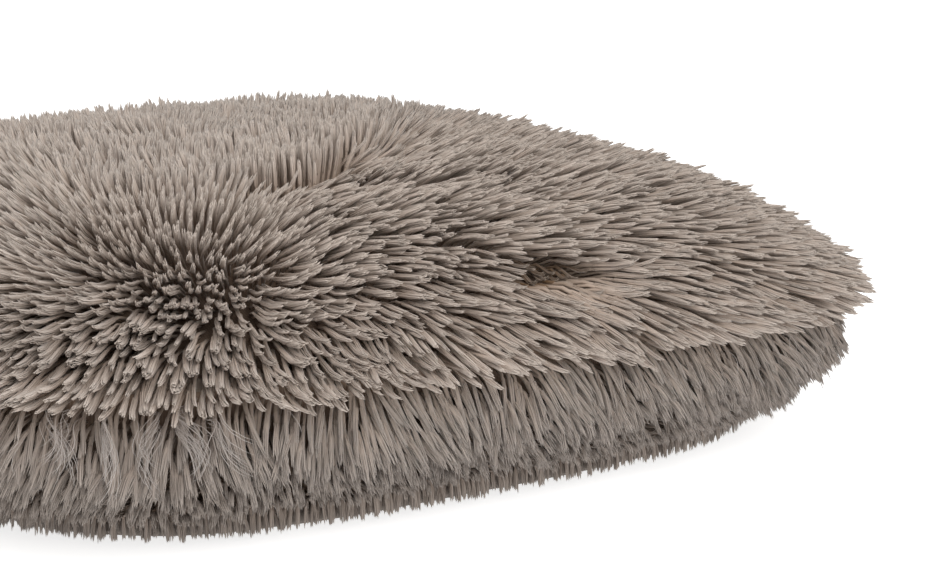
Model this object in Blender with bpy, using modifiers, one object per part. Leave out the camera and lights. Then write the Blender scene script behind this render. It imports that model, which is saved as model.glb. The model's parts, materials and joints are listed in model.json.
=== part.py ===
"""Pet cushion bed: a long-pile faux-fur cover with a padded non-slip base and a zip, round a fibre-filled
inner cushion.

Metres, +Z up. The origin is on the floor under the cushion's centre, with its sides along X and Y and
the zip in the base towards +Y. Each soft panel is a closed solid that includes the depth of its pile.
"""

import math

import bmesh
import bpy

# Overall size, over the tips of the pile
LENGTH = 0.700
WIDTH = 0.700
SEAM_HEIGHT = 0.099         # perimeter seam above the floor
CROWN_HEIGHT = 0.087        # top of the cushion above the seam

# Shape of the cushion
OUTLINE_POWER = 3.5         # superellipse power of the outline: 2 is an ellipse, more is squarer
CROWN_POWER = 3.6           # how far out the top stays flat
CROWN_ROUNDING = 0.90       # how steeply the top meets the seam
BELLY_POWER = 8.0           # how far out the underside stays flat
CAVITY_POWER = 14.0         # the same for the inner cushion, which lies flatter on the base
OUTLINE_STEPS = 40
PROFILE_STEPS = 16

# Cover
PILE = 0.036                # depth of the fur
BACKING = 0.002             # knitted backing of the fur
BASE_INSET = 0.075          # edge of the base panel, in from the outline
SEAM_ALLOWANCE_HEIGHT = 0.012
SEAM_ALLOWANCE_THICKNESS = 0.002
FIT_GAP = 0.0003            # between pieces that touch

# Inner cushion
INSERT_CLEARANCE = 0.0005   # inner cushion in the cover
TICKING = 0.0012

# Zip, in the base
ZIP_Y = 0.130               # centre line of the zip
ZIP_LENGTH = 0.360          # between the stops
COIL_SPACING = 0.0012       # between the two rows, where the slider's divider runs
COIL_WIDTH = 0.0022
COIL_HEIGHT = 0.0014
TAPE_WIDTH = 0.012
TAPE_THICKNESS = 0.0006
STOP_LENGTH = 0.004
STOP_HEIGHT = 0.0026
GUARD_THICKNESS = 0.0006
GUARD_COVER = 0.0005        # padding left above the guard
SLOT_END_ROOM = 0.006       # slot beyond the reach of the pull tab

# Slider and pull tab
SLIDER_LENGTH = 0.011
SLIDER_WIDTH = 0.0084
SLIDER_TAIL_WIDTH = 0.0066
SLIDER_PLATE = 0.0010
SLIDER_BEVEL = 0.00025
DIVIDER_THICKNESS = 0.0006
DIVIDER_LENGTH = 0.003
STOP_CLEARANCE = 0.0005
LUG_THICKNESS = 0.0012
LUG_LENGTH = 0.003
PIN_RADIUS = 0.0006
PIN_CLEARANCE = 0.00035
EYE_RADIUS = 0.0017
EYE_WIDTH = 0.003
LUG_CLEARANCE = 0.0006
TAB_LENGTH = 0.028
TAB_WIDTH = 0.007
TAB_THICKNESS = 0.0014
TAB_HOLE_RADIUS = 0.0014
TAB_FLOOR_CLEARANCE = 0.0006

# Care label, blank
LABEL_LENGTH = 0.030
LABEL_WIDTH = 0.009
LABEL_THICKNESS = 0.0004
LABEL_X = 0.060

# Heights of the zip's layers above the floor, from the pull tab up
PIN_Z = TAB_FLOOR_CLEARANCE + EYE_RADIUS
OUTER_PLATE_Z = PIN_Z + EYE_RADIUS + FIT_GAP
COIL_Z = OUTER_PLATE_Z + SLIDER_PLATE + FIT_GAP
COIL_MIDDLE_Z = COIL_Z + COIL_HEIGHT / 2
INNER_PLATE_Z = COIL_Z + COIL_HEIGHT + FIT_GAP
GUARD_Z = INNER_PLATE_Z + SLIDER_PLATE + 2 * FIT_GAP
BASE_THICKNESS = GUARD_Z + GUARD_THICKNESS + GUARD_COVER

# Places that follow from the sizes
WALL = PILE + BACKING
COIL_EDGE = COIL_SPACING / 2 + COIL_WIDTH
TAPE_EDGE = COIL_EDGE + FIT_GAP
SLOT_HALF_WIDTH = TAPE_EDGE + TAPE_WIDTH + FIT_GAP
SLOT_HALF_LENGTH = ZIP_LENGTH / 2 + TAB_LENGTH + SLOT_END_ROOM
SLIDER_X = ZIP_LENGTH / 2 - STOP_CLEARANCE - SLIDER_LENGTH / 2
FAR = LENGTH + WIDTH        # a cutter's reach beyond the cushion

COLLECTION = "pet_cushion_bed"
CUTTERS = "cutters"


def clear_scene():
    for old in list(bpy.data.objects):
        bpy.data.objects.remove(old, do_unlink=True)


def collection(name):
    if name not in bpy.data.collections:
        bpy.context.scene.collection.children.link(bpy.data.collections.new(name))
    return bpy.data.collections[name]


def material(name, color, roughness, metallic=0.0):
    made = bpy.data.materials.new(name)
    made.use_nodes = True
    shader = made.node_tree.nodes["Principled BSDF"]
    shader.inputs["Base Color"].default_value = (*color, 1.0)
    shader.inputs["Roughness"].default_value = roughness
    shader.inputs["Metallic"].default_value = metallic
    return made


def add_object(name, form, location=(0.0, 0.0, 0.0)):
    """Turn a bmesh into an object of the cushion, and free the bmesh."""
    mesh = bpy.data.meshes.new(name)
    form.to_mesh(mesh)
    form.free()
    made = bpy.data.objects.new(name, mesh)
    made.location = location
    collection(COLLECTION).objects.link(made)
    return made


def finish(piece, look):
    piece.data.materials.append(look)
    return piece


def combine(target, tool, operation):
    """Cut, join or intersect the target with a tool, which is stowed with the cutters."""
    modifier = target.modifiers.new(tool.name, "BOOLEAN")
    modifier.operation = operation
    modifier.solver = "EXACT"
    modifier.object = tool
    if tool.name not in collection(CUTTERS).objects:
        collection(COLLECTION).objects.unlink(tool)
        collection(CUTTERS).objects.link(tool)
        tool.hide_render = True
        tool.display_type = "WIRE"
    return target


def cut(target, *tools):
    for tool in tools:
        combine(target, tool, "DIFFERENCE")
    return target


def join(target, *tools):
    for tool in tools:
        combine(target, tool, "UNION")
    return target


def block(name, low, high, location=(0.0, 0.0, 0.0)):
    """A box between two corners, which are measured from its location."""
    form = bmesh.new()
    bmesh.ops.create_cube(form, size=1.0)
    for vertex in form.verts:
        vertex.co = [b if side > 0 else a for side, a, b in zip(vertex.co, low, high)]
    return add_object(name, form, location)


def cross_rod(name, radius, length, location, steps=16):
    """A cylinder along Y, centred on its location."""
    form = bmesh.new()
    bmesh.ops.create_cone(
        form, cap_ends=True, segments=steps, radius1=radius, radius2=radius, depth=length
    )
    rod = add_object(name, form, location)
    rod.rotation_euler = (math.pi / 2, 0.0, 0.0)
    return rod


def outline_point(x, y, inset):
    """Carry a point of the unit disc to the rounded-square outline, drawn in by the inset."""
    reach = math.hypot(x, y)
    if reach < 1e-9:
        return 0.0, 0.0
    power = 2.0 / OUTLINE_POWER
    along = math.copysign((abs(x) / reach) ** power, x) if abs(x) > 1e-9 else 0.0
    across = math.copysign((abs(y) / reach) ** power, y) if abs(y) > 1e-9 else 0.0
    return reach * along * (LENGTH / 2 - inset), reach * across * (WIDTH / 2 - inset)


def pillow_point(point, inset, floor, belly_power):
    """Carry a point of the unit sphere to the cushion's surface, drawn in by the inset."""
    reach = min(math.hypot(point.x, point.y), 1.0)
    x, y = outline_point(point.x, point.y, inset)
    if point.z > 0.0:
        rise = max(1.0 - reach**CROWN_POWER, 0.0) ** CROWN_ROUNDING
        return x, y, SEAM_HEIGHT + (CROWN_HEIGHT - inset) * rise
    fall = math.sqrt(max(1.0 - reach**belly_power, 0.0))
    return x, y, SEAM_HEIGHT - (SEAM_HEIGHT - floor) * fall


def pillow(name, inset=0.0, floor=0.0, belly_power=CAVITY_POWER):
    """A closed cushion: a sphere pulled out to the outline, crowned above the seam."""
    form = bmesh.new()
    bmesh.ops.create_uvsphere(
        form, u_segments=OUTLINE_STEPS, v_segments=PROFILE_STEPS, radius=1.0
    )
    for vertex in form.verts:
        if abs(vertex.co.z) < 1e-6:
            vertex.co.z = 0.0
        vertex.co = pillow_point(vertex.co, inset, floor, belly_power)
    return add_object(name, form)


def plate(name, inset, low, high):
    """A flat plate with the cushion's outline, drawn in by the inset."""
    form = bmesh.new()
    bmesh.ops.create_cone(
        form, cap_ends=True, segments=OUTLINE_STEPS, radius1=1.0, radius2=1.0, depth=1.0
    )
    for vertex in form.verts:
        x, y = outline_point(vertex.co.x, vertex.co.y, inset)
        vertex.co = (x, y, high if vertex.co.z > 0.0 else low)
    return add_object(name, form)


def half_space(name, low, high):
    """A box cutter that reaches past the cushion wherever a corner is None."""
    corner_low = [-FAR if value is None else value for value in low]
    corner_high = [FAR if value is None else value for value in high]
    return block(name, corner_low, corner_high)


def make_cutters():
    """The shapes that several pieces are cut by."""
    seam_low = SEAM_HEIGHT - SEAM_ALLOWANCE_HEIGHT / 2
    seam_high = SEAM_HEIGHT + SEAM_ALLOWANCE_HEIGHT / 2
    tools = {
        "cavity": pillow("cavity_cutter", WALL, BASE_THICKNESS),
        "above": half_space("above_seam_cutter", (None, None, SEAM_HEIGHT - FIT_GAP / 2), (None,) * 3),
        "below": half_space("below_seam_cutter", (None,) * 3, (None, None, SEAM_HEIGHT + FIT_GAP / 2)),
        "groove": pillow(
            "seam_groove_cutter", WALL - SEAM_ALLOWANCE_THICKNESS - FIT_GAP, BASE_THICKNESS
        ),
        "base_hole": plate("base_hole_cutter", BASE_INSET - FIT_GAP, -FAR, SEAM_HEIGHT / 2),
        "slot": block(
            "zip_slot_cutter",
            (-SLOT_HALF_LENGTH, ZIP_Y - SLOT_HALF_WIDTH, -FAR),
            (SLOT_HALF_LENGTH, ZIP_Y + SLOT_HALF_WIDTH, FAR),
        ),
    }
    band = half_space(
        "seam_groove_band", (None, None, seam_low - FIT_GAP), (None, None, seam_high + FIT_GAP)
    )
    combine(tools["groove"], band, "INTERSECT")
    return tools


def make_plush(tools):
    """The two faux-fur panels, which meet at the perimeter seam."""
    top = pillow("top_plush_panel", belly_power=BELLY_POWER)
    cut(top, tools["below"], tools["cavity"], tools["groove"])
    finish(top, material("plush_top", (0.215, 0.180, 0.153), 0.95))

    band = pillow("lower_plush_band", belly_power=BELLY_POWER)
    cut(band, tools["above"], tools["cavity"], tools["groove"], tools["base_hole"])
    finish(band, material("plush_band", (0.165, 0.140, 0.122), 0.95))


def make_seam_allowance(tools):
    """The folded edges of both plush panels, inside the perimeter seam."""
    ring = pillow("seam_allowance", WALL - SEAM_ALLOWANCE_THICKNESS, BASE_THICKNESS)
    reach = SEAM_ALLOWANCE_HEIGHT / 2
    band = half_space(
        "seam_allowance_band", (None, None, SEAM_HEIGHT - reach), (None, None, SEAM_HEIGHT + reach)
    )
    combine(ring, band, "INTERSECT")
    cut(ring, tools["cavity"])
    finish(ring, material("fur_backing", (0.180, 0.150, 0.125), 0.90))


def make_base(tools):
    """The padded non-slip base, in a front and a rear part that meet at the zip's line."""
    sides = {
        "base_panel_front": ((None, ZIP_Y - FIT_GAP / 2, None), (None,) * 3),
        "base_panel_rear": ((None,) * 3, (None, ZIP_Y + FIT_GAP / 2, None)),
    }
    look = material("base_fabric", (0.055, 0.048, 0.044), 0.85)
    for name, (low, high) in sides.items():
        panel = plate(name, BASE_INSET, 0.0, SEAM_HEIGHT / 2)
        other_side = half_space(name + "_trim", low, high)
        cut(panel, tools["cavity"], other_side, tools["slot"])
        finish(panel, look)


def make_zip_tapes():
    tape_look = material("zip_tape", (0.120, 0.100, 0.085), 0.85)
    coil_look = material("zip_coil", (0.140, 0.118, 0.100), 0.45)
    tape_low = COIL_MIDDLE_Z - TAPE_THICKNESS / 2
    tape_end = SLOT_HALF_LENGTH - FIT_GAP
    for name, side in (("front", -1), ("rear", 1)):
        edges = sorted((side * TAPE_EDGE, side * (TAPE_EDGE + TAPE_WIDTH)))
        tape = block(
            "zip_tape_" + name,
            (-tape_end, ZIP_Y + edges[0], tape_low),
            (tape_end, ZIP_Y + edges[1], tape_low + TAPE_THICKNESS),
        )
        finish(tape, tape_look)
        edges = sorted((side * COIL_SPACING / 2, side * COIL_EDGE))
        coil = block(
            "zip_coil_" + name,
            (-ZIP_LENGTH / 2, ZIP_Y + edges[0], COIL_Z),
            (ZIP_LENGTH / 2, ZIP_Y + edges[1], COIL_Z + COIL_HEIGHT),
        )
        finish(coil, coil_look)


def make_zip_stops():
    """A stop at each end of the coils, too tall for the slider to pass."""
    look = material("zip_metal", (0.420, 0.400, 0.370), 0.35, 1.0)
    low, high = -STOP_HEIGHT / 2, STOP_HEIGHT / 2
    start = ZIP_LENGTH / 2 + FIT_GAP
    for name, ends in (
        ("zip_top_stop", (start, start + STOP_LENGTH)),
        ("zip_bottom_stop", (-start - STOP_LENGTH, -start)),
    ):
        stop = block(
            name, (ends[0], -COIL_EDGE, low), (ends[1], COIL_EDGE, high), (0.0, ZIP_Y, COIL_MIDDLE_Z)
        )
        finish(stop, look)


def slider_plate(name, low, high, location):
    """One plate of the slider, narrower at its tail, with soft edges."""
    form = bmesh.new()
    bmesh.ops.create_cube(form, size=1.0)
    for vertex in form.verts:
        width = SLIDER_WIDTH if vertex.co.x > 0 else SLIDER_TAIL_WIDTH
        vertex.co = (
            vertex.co.x * SLIDER_LENGTH,
            vertex.co.y * width,
            high if vertex.co.z > 0 else low,
        )
    made = add_object(name, form, location)
    bevel = made.modifiers.new("soft_edges", "BEVEL")
    bevel.width = SLIDER_BEVEL
    bevel.segments = 2
    return made


def make_slider():
    """Two plates held apart by the divider, with two lugs and a cross pin for the pull tab below."""
    place = (SLIDER_X, ZIP_Y, COIL_MIDDLE_Z)
    outer_low = OUTER_PLATE_Z - COIL_MIDDLE_Z
    outer_high = outer_low + SLIDER_PLATE
    inner_low = INNER_PLATE_Z - COIL_MIDDLE_Z
    slider = slider_plate("zip_slider", outer_low, outer_high, place)
    inner = slider_plate("slider_inner_plate", inner_low, inner_low + SLIDER_PLATE, place)
    half_divider = DIVIDER_THICKNESS / 2
    nose = SLIDER_LENGTH / 2 - SLIDER_PLATE
    divider = block(
        "slider_divider",
        (nose - DIVIDER_LENGTH, -half_divider, outer_high - SLIDER_PLATE / 2),
        (nose, half_divider, inner_low + SLIDER_PLATE / 2),
        place,
    )
    join(slider, inner, divider)
    pin_z = PIN_Z - COIL_MIDDLE_Z
    lug_inner = EYE_WIDTH / 2 + LUG_CLEARANCE
    for name, side in (("slider_lug_front", -1), ("slider_lug_rear", 1)):
        edges = sorted((side * lug_inner, side * (lug_inner + LUG_THICKNESS)))
        lug = block(
            name,
            (-LUG_LENGTH / 2, edges[0], pin_z - 2 * PIN_RADIUS),
            (LUG_LENGTH / 2, edges[1], outer_low + SLIDER_PLATE / 2),
            place,
        )
        join(slider, lug)
    pin_length = 2 * lug_inner + LUG_THICKNESS
    join(slider, cross_rod("slider_pin", PIN_RADIUS, pin_length, (SLIDER_X, ZIP_Y, PIN_Z)))
    finish(slider, material("zip_slider", (0.420, 0.400, 0.370), 0.30, 1.0))


def make_pull_tab():
    """A tapered tab with an eye round the slider's pin. Its origin is on the pin's axis."""
    place = (SLIDER_X, ZIP_Y, PIN_Z)
    low = TAB_FLOOR_CLEARANCE - PIN_Z + FIT_GAP / 2
    form = bmesh.new()
    bmesh.ops.create_cube(form, size=1.0)
    for vertex in form.verts:
        at_eye = vertex.co.x > 0
        vertex.co = (
            -PIN_RADIUS if at_eye else -TAB_LENGTH,
            vertex.co.y * (EYE_WIDTH if at_eye else TAB_WIDTH),
            low + TAB_THICKNESS if vertex.co.z > 0 else low,
        )
    tab = add_object("zip_pull_tab", form, place)
    join(tab, cross_rod("tab_eye", EYE_RADIUS, EYE_WIDTH, place))
    cut(tab, cross_rod("tab_eye_hole", PIN_RADIUS + PIN_CLEARANCE, 2 * EYE_WIDTH, place))
    hole_x = TAB_LENGTH - TAB_WIDTH / 2
    hole = cross_rod("tab_hole", TAB_HOLE_RADIUS, 4 * TAB_THICKNESS, (SLIDER_X - hole_x, ZIP_Y, PIN_Z))
    hole.rotation_euler = (0.0, 0.0, 0.0)
    cut(tab, hole)
    finish(tab, material("zip_pull", (0.400, 0.380, 0.350), 0.30, 1.0))


def make_zip_guard():
    """A soft strip over the zip, which keeps the inner cushion off the coils."""
    end = SLOT_HALF_LENGTH - FIT_GAP
    side = SLOT_HALF_WIDTH - FIT_GAP
    guard = block(
        "zip_guard",
        (-end, ZIP_Y - side, GUARD_Z),
        (end, ZIP_Y + side, GUARD_Z + GUARD_THICKNESS),
    )
    finish(guard, material("zip_guard", (0.150, 0.128, 0.110), 0.90))


def make_care_label():
    """A blank label sewn under the front tape's outer edge."""
    outer = ZIP_Y - SLOT_HALF_WIDTH + FIT_GAP
    top = COIL_MIDDLE_Z - TAPE_THICKNESS / 2 - FIT_GAP
    label = block(
        "care_label",
        (LABEL_X, outer, top - LABEL_THICKNESS),
        (LABEL_X + LABEL_LENGTH, outer + LABEL_WIDTH, top),
    )
    finish(label, material("care_label", (0.720, 0.700, 0.660), 0.80))


def make_inner_cushion(tools):
    """A ticking bag in two halves, sewn at its edge, filled with fibre."""
    outside = WALL + INSERT_CLEARANCE
    inside = outside + TICKING
    floor = BASE_THICKNESS + INSERT_CLEARANCE
    hollow = pillow("ticking_hollow_cutter", inside, floor + TICKING)
    look = material("ticking", (0.640, 0.610, 0.560), 0.90)
    for name, side in (("insert_ticking_top", "below"), ("insert_ticking_bottom", "above")):
        finish(cut(pillow(name, outside, floor), tools[side], hollow), look)
    fill = pillow("fibre_fill", inside + FIT_GAP, floor + TICKING + FIT_GAP)
    finish(fill, material("fibre_fill", (0.800, 0.790, 0.760), 0.95))


def main():
    clear_scene()
    tools = make_cutters()
    make_plush(tools)
    make_seam_allowance(tools)
    make_base(tools)
    make_zip_tapes()
    make_zip_stops()
    make_slider()
    make_pull_tab()
    make_zip_guard()
    make_care_label()
    make_inner_cushion(tools)


main()
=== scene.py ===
"""The looks of the pet cushion bed: long-pile faux fur over the cover, the padded base with its dots, the
zip and the inner cushion. Metres, +Z up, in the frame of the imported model."""

import json
import math
from itertools import product
from typing import NamedTuple

import bpy
import numpy as np
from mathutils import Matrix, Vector

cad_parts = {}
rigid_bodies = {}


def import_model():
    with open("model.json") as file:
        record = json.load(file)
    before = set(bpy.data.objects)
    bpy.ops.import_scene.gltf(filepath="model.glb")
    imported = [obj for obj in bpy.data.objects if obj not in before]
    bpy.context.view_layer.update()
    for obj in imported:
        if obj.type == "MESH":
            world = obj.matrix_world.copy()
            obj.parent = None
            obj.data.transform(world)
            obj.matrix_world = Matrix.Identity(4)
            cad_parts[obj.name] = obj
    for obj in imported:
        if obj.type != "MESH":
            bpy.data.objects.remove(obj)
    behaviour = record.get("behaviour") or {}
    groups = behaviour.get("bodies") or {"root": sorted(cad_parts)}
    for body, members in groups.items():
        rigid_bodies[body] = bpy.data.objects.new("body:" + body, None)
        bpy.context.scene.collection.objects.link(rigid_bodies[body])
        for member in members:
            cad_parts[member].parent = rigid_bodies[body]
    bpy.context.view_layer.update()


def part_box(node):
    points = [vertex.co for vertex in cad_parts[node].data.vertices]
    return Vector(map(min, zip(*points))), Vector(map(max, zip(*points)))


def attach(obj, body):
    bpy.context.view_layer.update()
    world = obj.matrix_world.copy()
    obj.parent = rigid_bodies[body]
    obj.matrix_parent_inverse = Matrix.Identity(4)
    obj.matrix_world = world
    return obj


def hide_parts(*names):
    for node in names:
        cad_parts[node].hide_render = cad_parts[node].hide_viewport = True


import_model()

# Camera: where it stands round the cushion, what it looks at, and its lens
CAMERA_PLACE = (-0.7313, -1.3933, 0.4242)
CAMERA_AIM = (0.116, -0.081, 0.0771)
CAMERA_LENS_MM = 90.2
SENSOR_MM = 36.0

# Studio: half the floor's side, and what both lamps point at
FLOOR_HALF = 14.0
LIGHT_AIM = (0.0, 0.0, 0.1)

# Cushion sizes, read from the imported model
TOP_LOW, TOP_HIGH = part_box("top_plush_panel")
RING_LOW, RING_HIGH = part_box("seam_allowance")
SLOT_LOW, SLOT_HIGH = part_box("zip_guard")
HALF_LENGTH = TOP_HIGH.x
HALF_WIDTH = TOP_HIGH.y
SEAM_Z = (TOP_LOW.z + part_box("lower_plush_band")[1].z) / 2
CROWN = TOP_HIGH.z - SEAM_Z
SEAM_FOLD = 0.002                         # thickness of the seam allowance, outside the cavity
WALL = HALF_LENGTH - RING_HIGH.x + SEAM_FOLD
CAVITY_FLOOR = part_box("insert_ticking_bottom")[0].z
BACKING = 0.002                           # knitted backing of the fur
ZIP_Y = sum(corner.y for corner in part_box("zip_top_stop")) / 2

# Base: its edge, the height it is rounded to there, its quilting, its stitches and its anti-slip dots
BASE_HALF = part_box("base_panel_front")[1].x
BASE_TOP = CAVITY_FLOOR - 0.0007
BASE_ROUND = 0.013
BASE_EDGE = 0.0065
QUILT_PITCH = 0.054
QUILT_DEPTH = 0.0022
STITCH_RADIUS = 0.00022
STITCH_BOW = -0.00012
STITCH_INSET = BASE_ROUND + 0.006         # how far from the edge the channels' stitches end
DOT_HEIGHT = 0.0006
DOT_RADIUS = 0.0018
DOT_SIDES = 12
DOT_RINGS = ((1.0, 0.0), (0.92, 0.45), (0.68, 0.80), (0.36, 0.96))    # share of the radius, and of the height

# Zip: the radius of its nylon wire, the length of one turn and the rings in it. Inner cushion: its ticking
COIL_WIRE = 0.00027
COIL_PITCH = 0.00125
COIL_RINGS = 12
TICKING_INSET = WALL + 0.0005
TICKING_THICKNESS = 0.0012

# The cushion's shape, as the model's source has it
OUTLINE_POWER = 3.5
CROWN_POWER = 3.6
CROWN_ROUNDING = 0.90
BELLY_POWER = 8.0
CAVITY_POWER = 14.0
POLE = math.pi / 2 - 1e-3                 # the slope angle just short of the middle of the top

# Fur: spacing of the tufts, how far their tips lie from their roots, and the pieces each kind is cut into
TOP_SPACING = 0.0039
TOP_LEAN = 0.0185
TOP_SECTORS = 14
BAND_SPACING = 0.0038
BAND_LEAN = 0.026
BAND_SECTORS = 7
FRINGE_SPACING = 0.0028
FRINGE_SECTORS = 2
CLUMP_SPACING = 0.013
BASE_SLOPE = -0.50                        # the slope angle at which the band's backing meets the base
# Painted shade: the pile down in the slit takes this shade value, below the 0 to 1 of other pile, to darken
# it
PIT_PAINTED_SHADE = -0.5                         # the shade of pile down in the slit, where other pile is 0 to 1
STRAY_LOCKS = 8                           # groups of loose fibres at the corner under the whorl
STRAY_PER_LOCK = 13
STRAY_AROUND = 40                         # single loose fibres elsewhere along the seam

# Where the top pile changes its way
WHORL = np.array([-0.158, -0.160])        # the pile parts in all directions here
WHORL_REACH = 0.110                       # and lies fully over this far away
PARTING_X = (-0.090, 0.070)               # the parting: behind it the pile leans back, before it forwards
PARTING_Y = -0.132
PARTING_BEND = -0.030                     # where the parting starts to turn backwards
SLIT = np.array([[0.029, -0.282], [0.059, -0.288]])      # a short dark opening in the front of the pile
SLIT_HALF_WIDTH = 0.0042
# Round the slit's ends the pile sinks and is darkened with painted shade
PIT_REACH = (0.0138, 0.0088)              # how far round the slit's ends the pile is dark
PIT_DEPTH = 0.021                         # and how far it sinks there
FAN_REACH = 0.062                         # how far the pile that fans out of it reaches, along +X
FAN_HALF_WIDTH = 0.021
RIGHT_CORNER = np.array([0.270, -0.300])  # where the overhanging edge droops
DROOP_REACH = 0.09
LONG_SHARE = 0.07                         # share of the tufts at the edge that hang in longer locks

UP = np.array([0.0, 0.0, 1.0])


class Pile(NamedTuple):
    """One kind of pile: the radius of its cores, the number, radius and spread of the fibres that fray from
    each core, and the seed of its random draws."""

    radius: float
    frays: int
    fray_radius: float
    splay: float
    seed: int


TOP_PILE = Pile(0.00135, 8, 0.00056, 0.62, 41)
BAND_PILE = Pile(0.00135, 7, 0.00046, 1.2, 42)
FRINGE_PILE = Pile(0.00095, 5, 0.00042, 1.4, 43)

# The cores and the frayed fibres: places along the tuft, and the share of the full radius at each
CORE_SIDES = 5
CORE_STEPS = np.array([0.0, 0.35, 0.64, 0.86, 0.95])
CORE_TAPER = np.array([0.80, 0.92, 0.88, 0.55, 0.0])
FRAY_STEPS = np.array([0.48, 0.74, 0.94, 1.0])
FRAY_TAPER = np.array([1.0, 1.0, 0.72, 0.0])
FRAY_OUT = np.array([0.72, 0.68, 0.36, 0.10])            # distance from the tuft's middle, in core radii
FRAY_SPREAD = np.array([0.0, 0.22, 0.40, 0.60])          # how much of the spread is added to it

# Fur colours, from the root to the tip, darker towards the root with painted shade down in the pile
FUR_TOP_STOPS = (
    (0.0, (0.350, 0.256, 0.193)),
    (0.48, (0.368, 0.292, 0.240)),
    (0.80, (0.402, 0.337, 0.292)),
    (1.0, (0.462, 0.402, 0.356)),
)
# Band pile: the same pile as the top, its colours darker with painted shade under the overhanging top
FUR_BAND_PAINTED_SHADE_STOPS = (
    (0.0, (0.270, 0.208, 0.165)),
    (0.40, (0.268, 0.216, 0.180)),
    (0.75, (0.272, 0.228, 0.198)),
    (1.0, (0.292, 0.252, 0.224)),
)
STRAY_STOPS = (
    (0.0, (0.270, 0.230, 0.205)),
    (0.5, (0.340, 0.300, 0.275)),
    (1.0, (0.410, 0.375, 0.350)),
)

# Cloths and plastics: dark and light colour, roughness, how fine the weave is (about twice its threads per
# metre), and strength of the relief
CLOTHS = {
    "knit_backing": ((0.130, 0.088, 0.062), (0.210, 0.150, 0.112), 0.9, 1400.0, 0.25),
    "thread": ((0.10, 0.082, 0.070), (0.19, 0.16, 0.14), 0.7, 5200.0, 0.4),
    "base_cloth": ((0.095, 0.080, 0.069), (0.190, 0.165, 0.146), 0.88, 1700.0, 0.5),
    "antislip_rubber": ((0.016, 0.015, 0.015), (0.030, 0.028, 0.027), 0.55, 300.0, 0.1),
    "woven_tape": ((0.075, 0.060, 0.050), (0.170, 0.145, 0.125), 0.82, 2600.0, 0.5),
    "guard_cloth": ((0.10, 0.085, 0.072), (0.190, 0.165, 0.145), 0.9, 1900.0, 0.4),
    "nylon_coil": ((0.095, 0.078, 0.065), (0.180, 0.152, 0.130), 0.38, 400.0, 0.1),
    "label_satin": ((0.66, 0.64, 0.60), (0.80, 0.78, 0.74), 0.5, 3200.0, 0.3),
    "seam_knit": ((0.13, 0.10, 0.08), (0.24, 0.20, 0.165), 0.9, 1500.0, 0.5),
    "ticking_cloth": ((0.55, 0.52, 0.47), (0.74, 0.71, 0.66), 0.88, 1300.0, 0.35),
    "fibre_wadding": ((0.66, 0.65, 0.62), (0.90, 0.89, 0.87), 0.95, 160.0, 0.8),
}


# ---- shapes

def smooth_step(low, high, value):
    """0 at low and 1 at high, with an even rise between. low may be the greater one."""
    t = np.clip((value - low) / (high - low), 0.0, 1.0)
    return t * t * (3.0 - 2.0 * t)


def bell(offset, width):
    """1 where the offset is 0, falling away over the width."""
    return np.exp(-((offset / width) ** 2))


def unit(v):
    """Vectors of length 1 that point the same way."""
    return v / np.maximum(np.linalg.norm(v, axis=-1, keepdims=True), 1e-12)


def dot(a, b):
    return (a * b).sum(-1, keepdims=True)


def xyz(x, y, z):
    """Points from coordinates, each an array or a number."""
    return np.stack(np.broadcast_arrays(x, y, z), -1)


def outline(bearing):
    """The plan outline at bearings in radians, for a cushion that reaches 1 each way."""
    power = 2.0 / OUTLINE_POWER
    c, s = np.cos(bearing), np.sin(bearing)
    return np.sign(c) * np.abs(c) ** power, np.sign(s) * np.abs(s) ** power


def outline_share(x, y, half_x, half_y):
    """How far points lie from the middle, as a share of the outline's reach there."""
    power = OUTLINE_POWER
    return (np.abs(x / half_x) ** power + np.abs(y / half_y) ** power) ** (1.0 / power)


class Form:
    """The cushion's surface at one depth, as a function of bearing and slope angle in radians."""

    def __init__(self, inset=0.0, floor=0.0, belly=CAVITY_POWER):
        self.inset = inset
        self.floor = floor
        self.belly = belly

    def at(self, bearing, slope):
        reach = np.cos(slope)
        x, y = outline(bearing)
        rise = np.maximum(1.0 - reach**CROWN_POWER, 0.0) ** CROWN_ROUNDING
        fall = np.sqrt(np.maximum(1.0 - reach**self.belly, 0.0))
        over = SEAM_Z + (CROWN - self.inset) * rise
        under = SEAM_Z - (SEAM_Z - self.floor) * fall
        z = np.where(slope > 0.0, over, under)
        return xyz(x * reach * (HALF_LENGTH - self.inset), y * reach * (HALF_WIDTH - self.inset), z)

    def normal(self, bearing, slope):
        """Outward normals, from differences that stay on one side of the seam."""
        step = 1e-4
        inner = np.where(slope > 0.0, np.maximum(slope, 0.02), np.minimum(slope, -0.02))
        along = self.at(bearing + step, inner) - self.at(bearing - step, inner)
        up = self.at(bearing, inner + step) - self.at(bearing, inner - step)
        return unit(np.cross(along, up))

    def rim(self, bearing):
        """The form's points at the seam."""
        return self.at(bearing, np.full(len(bearing), 1e-9))


OUTER = Form(0.0, 0.0, BELLY_POWER)
INNER = Form(WALL, CAVITY_FLOOR)


def waves(seed, size, count=7):
    """A smooth random field over space, about -1 to 1, with features of the given size."""
    rng = np.random.default_rng(seed)
    way = unit(rng.normal(size=(count, 3))) * rng.uniform(0.7, 1.5, (count, 1)) * (math.tau / size)
    phase = rng.uniform(0, math.tau, count)
    return lambda p: np.sin(p @ way.T + phase).sum(-1) / math.sqrt(count)


# ---- meshes

def add_object(name, data):
    made = bpy.data.objects.new(name, data)
    bpy.context.scene.collection.objects.link(made)
    return made


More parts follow.
